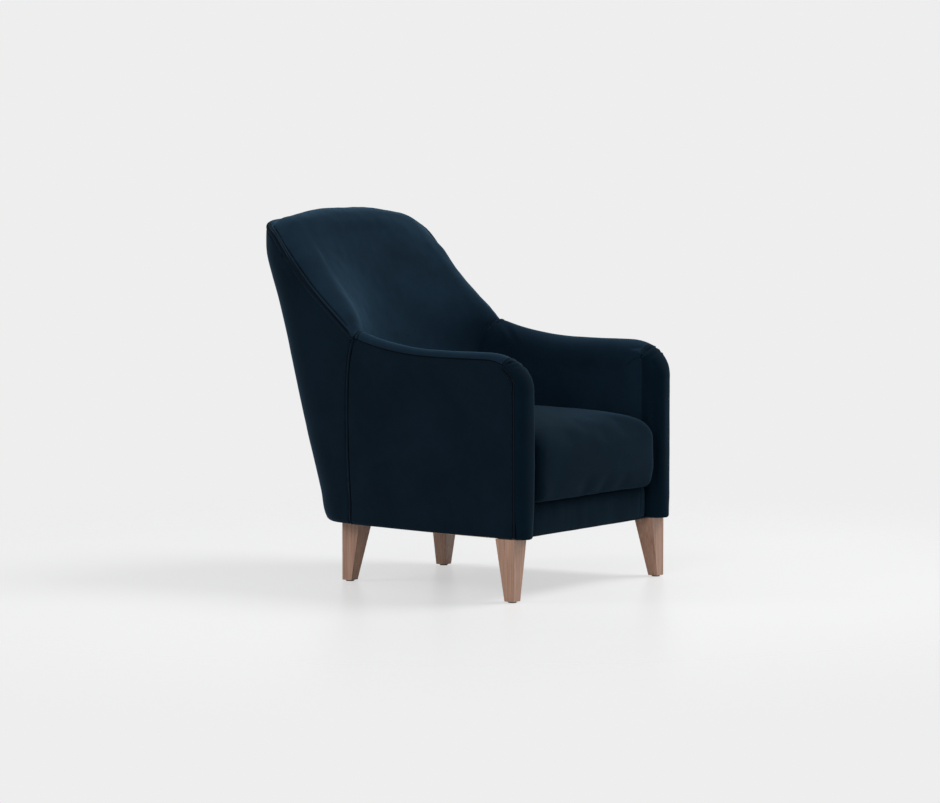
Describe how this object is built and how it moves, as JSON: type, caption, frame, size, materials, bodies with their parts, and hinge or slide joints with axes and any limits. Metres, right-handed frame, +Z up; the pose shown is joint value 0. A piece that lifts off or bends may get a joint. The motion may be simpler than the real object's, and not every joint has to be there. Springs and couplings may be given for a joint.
{
  "type": "upholstered armchair",
  "caption": "Upholstered armchair with round-fronted arms that sweep up into a hollowed back, a loose boxed seat cushion and tapered wooden legs.",
  "frame": {"origin": "on the floor, under the middle of the bounding box", "axes": "+Z up, -Y towards the front, +X to the right as seen from the front"},
  "size_m": [0.6642, 0.815, 0.9103],
  "materials": {
    "velvet": "deep blue velvet, soft sheen",
    "walnut": "stained walnut, satin",
    "timber": "sawn, unfinished",
    "steel": "zinc plated",
    "cloth": "black woven, matte",
    "felt": "grey felt, matte",
    "foam": "open cell foam",
    "glide": "matte"
  },
  "bodies": {
    "chair": {"seat_front_rail": "timber", "seat_rear_rail": "timber", "seat_side_rail_left": "timber", "seat_side_rail_right": "timber", "rear_corner_blocks": "timber", "front_glue_blocks": "timber", "arm_front_post_left": "timber", "arm_front_post_right": "timber", "arm_rear_post_left": "timber", "arm_rear_post_right": "timber", "arm_rail_left": "timber", "arm_rail_right": "timber", "arm_tack_rail_left": "timber", "arm_tack_rail_right": "timber", "back_post_left": "timber", "back_post_right": "timber", "back_top_rail": "timber", "back_middle_rail": "timber", "back_tack_rail": "timber", "wing_board_left": "timber", "wing_board_right": "timber", "webbing_batten_left": "timber", "webbing_batten_right": "timber", "back_webbing": "cloth", "seat_springs": "steel", "spring_clips": "steel", "deck_pad": "felt", "arm_roll_left": "velvet", "arm_roll_right": "velvet", "arm_pad_left": "velvet", "arm_pad_right": "velvet", "arm_outside_left": "velvet", "arm_outside_right": "velvet", "outside_back": "velvet", "inside_back": "velvet", "front_border": "velvet", "dust_cover": "cloth", "leg_front_left": "walnut", "leg_front_right": "walnut", "leg_rear_left": "walnut", "leg_rear_right": "walnut", "leg_glides": "glide", "leg_bolts": "steel", "leg_tee_nuts": "steel"},
    "cushion": {"seat_cushion": "velvet", "cushion_core": "foam", "cushion_zip": "steel"}
  },
  "joints": [
    {"name": "cushion_lift", "type": "slide", "parent": "chair", "child": "cushion", "axis": [0, -0.3, 0.9539], "range_m": [0, 0.4]}
  ]
}
